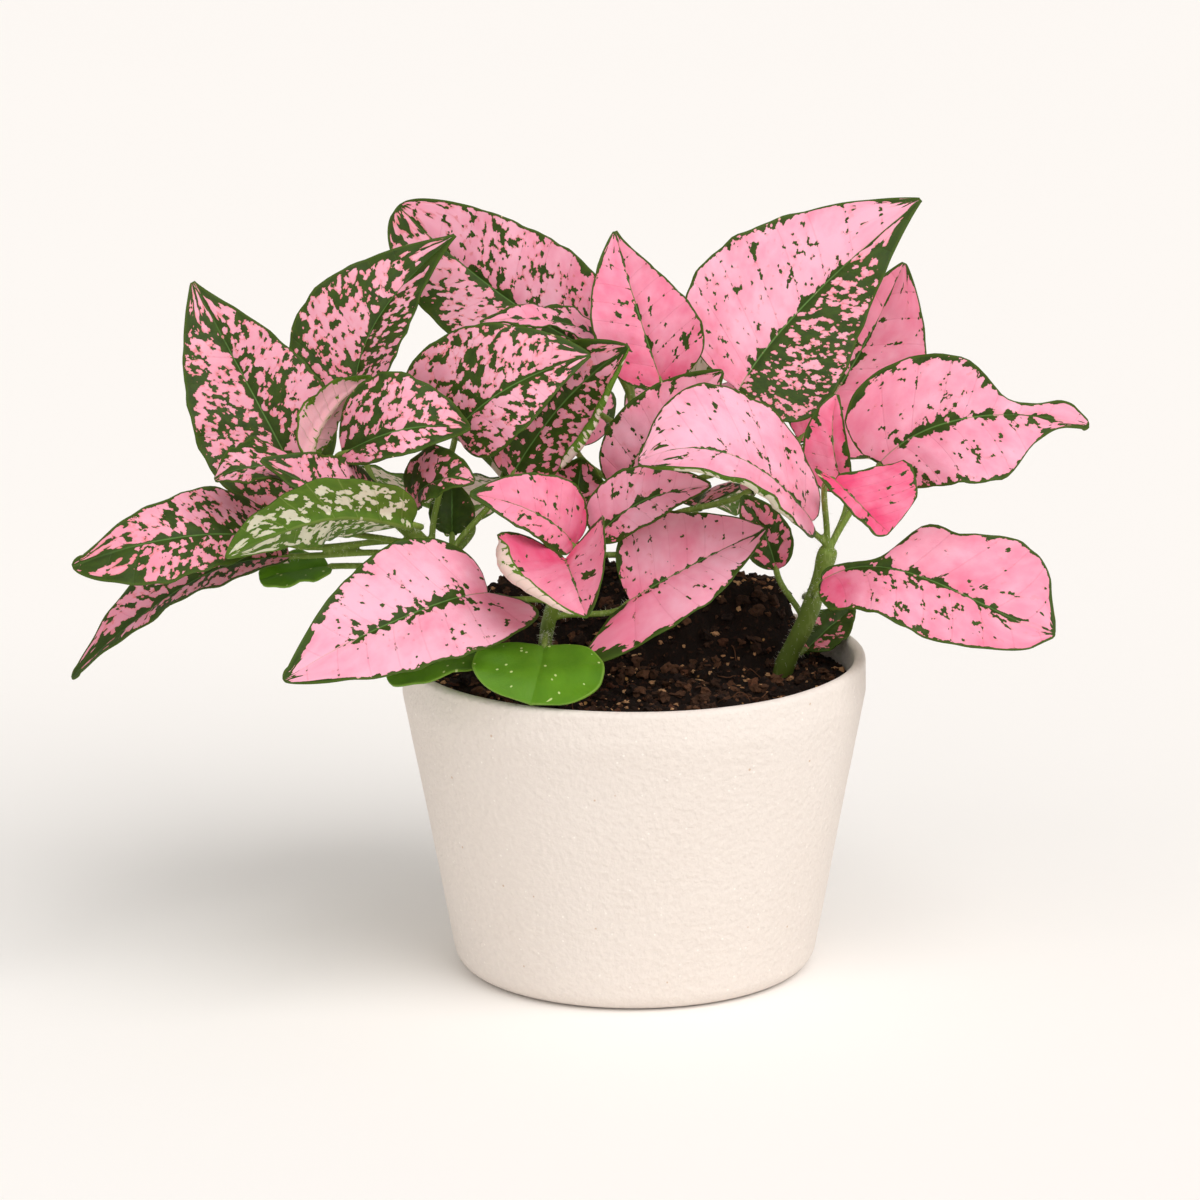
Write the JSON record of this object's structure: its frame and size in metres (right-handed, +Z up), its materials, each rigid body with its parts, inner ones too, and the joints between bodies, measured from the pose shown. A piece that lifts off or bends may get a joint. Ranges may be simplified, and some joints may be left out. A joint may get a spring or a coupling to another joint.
{
  "type": "potted polka dot plant",
  "caption": "Bushy polka dot plant with pink leaves splashed and edged in dark green, in a plain tapered cream pot filled with dark soil.",
  "frame": {"origin": "centre of the pot's flat underside", "axes": "+Z up along the pot's axis, -Y towards the fuller side of the plant, +X to the right seen from that side"},
  "size_m": [0.2407, 0.1429, 0.1797],
  "materials": {
    "pot": "matte cream stoneware, finely speckled",
    "soil": "loose dark potting soil",
    "stem": "soft green living stem",
    "leaf": "satin pink leaf with dark green blotches and edge",
    "seed_leaf": "satin bright green seed leaf"
  },
  "bodies": {
    "root": {"pot": "pot", "soil": "soil", "stem_back": "stem", "stem_front": "stem", "stem_left": "stem", "stem_right": "stem", "leaf_back_1": "leaf", "leaf_back_10": "leaf", "leaf_back_2": "leaf", "leaf_back_3": "leaf", "leaf_back_4": "leaf", "leaf_back_5": "leaf", "leaf_back_6": "leaf", "leaf_back_7": "leaf", "leaf_back_8": "leaf", "leaf_back_9": "leaf", "leaf_front_cupped": "leaf", "leaf_front_large": "leaf", "leaf_front_right": "leaf", "leaf_front_up_left": "leaf", "leaf_front_up_right": "leaf", "leaf_left_blunt": "leaf", "leaf_left_curled": "leaf", "leaf_left_dark": "leaf", "leaf_left_flap": "leaf", "leaf_left_inner": "leaf", "leaf_left_long": "leaf", "leaf_left_low": "leaf", "leaf_left_small": "leaf", "leaf_left_tall": "leaf", "leaf_left_tucked": "leaf", "leaf_left_underside": "leaf", "leaf_left_upright": "leaf", "leaf_mid_arched": "leaf", "leaf_mid_low": "leaf", "leaf_mid_rolled": "leaf", "leaf_mid_shaded": "leaf", "leaf_mid_strip": "leaf", "leaf_right_arched": "leaf", "leaf_right_behind": "leaf", "leaf_right_cupped": "leaf", "leaf_right_inner": "leaf", "leaf_right_low": "leaf", "leaf_right_narrow": "leaf", "leaf_right_soil": "leaf", "leaf_right_wide": "leaf", "leaf_top_broad": "leaf", "leaf_top_large": "leaf", "leaf_top_small": "leaf", "seed_leaf_front": "seed_leaf", "seed_leaf_hidden": "seed_leaf", "seed_leaf_left": "seed_leaf"}
  },
  "joints": []
}
